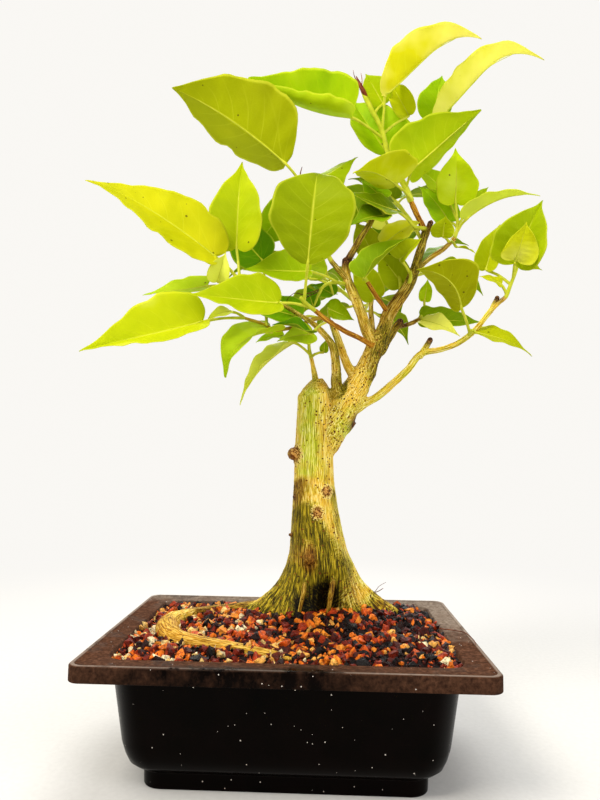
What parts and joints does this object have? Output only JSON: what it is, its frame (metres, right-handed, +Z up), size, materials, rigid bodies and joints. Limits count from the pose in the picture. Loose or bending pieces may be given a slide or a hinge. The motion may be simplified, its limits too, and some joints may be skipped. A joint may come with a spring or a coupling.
{
  "type": "sacred fig bonsai in a training pot",
  "caption": "Young sacred fig tree with a flared root base and heart-shaped drip-tip leaves, in a gritty soil bed in a rectangular plastic pot.",
  "frame": {"origin": "middle of the pot's foot, on the surface it stands on", "axes": "+Z up the trunk, +X along the pot's long side, +Y from its front to its back"},
  "size_m": [0.4053, 0.2626, 0.6471],
  "materials": {
    "pot_plastic": "moulded brown-black plastic, satin, dusty on the rim",
    "soil_mix": "loose damp mix of crushed brick, red and black volcanic grit and pale grains, 3 to 10 mm",
    "bark": "thin smooth yellow-green bark with fine lengthwise streaks and small dark lenticels",
    "leaf_lime": "soft new leaf, yellow-green, pale veins, lets light through",
    "leaf_olive": "older leaf seen from beneath, matt olive green with pale veins",
    "leaf_deep": "shaded leaf, smooth satin mid green with pale veins"
  },
  "bodies": {
    "root": {"pot": "pot_plastic", "soil": "soil_mix", "trunk": "bark", "spray_back_left": "leaf_deep", "spray_back_low": "leaf_deep", "spray_back_middle": "leaf_deep", "spray_back_right": "leaf_deep", "spray_back_top": "leaf_deep", "spray_centre": "leaf_lime", "spray_inner": "leaf_deep", "spray_inner_right": "leaf_deep", "spray_left": "leaf_lime", "spray_left_inner": "leaf_deep", "spray_limb": "leaf_deep", "spray_low": "leaf_deep", "spray_right_far": "leaf_lime", "spray_right_low": "leaf_deep", "spray_right_mid": "leaf_olive", "spray_right_node": "leaf_olive", "spray_right_up": "leaf_olive", "spray_stub": "leaf_lime", "spray_top": "leaf_lime", "spray_upper_left": "leaf_lime"}
  },
  "joints": []
}
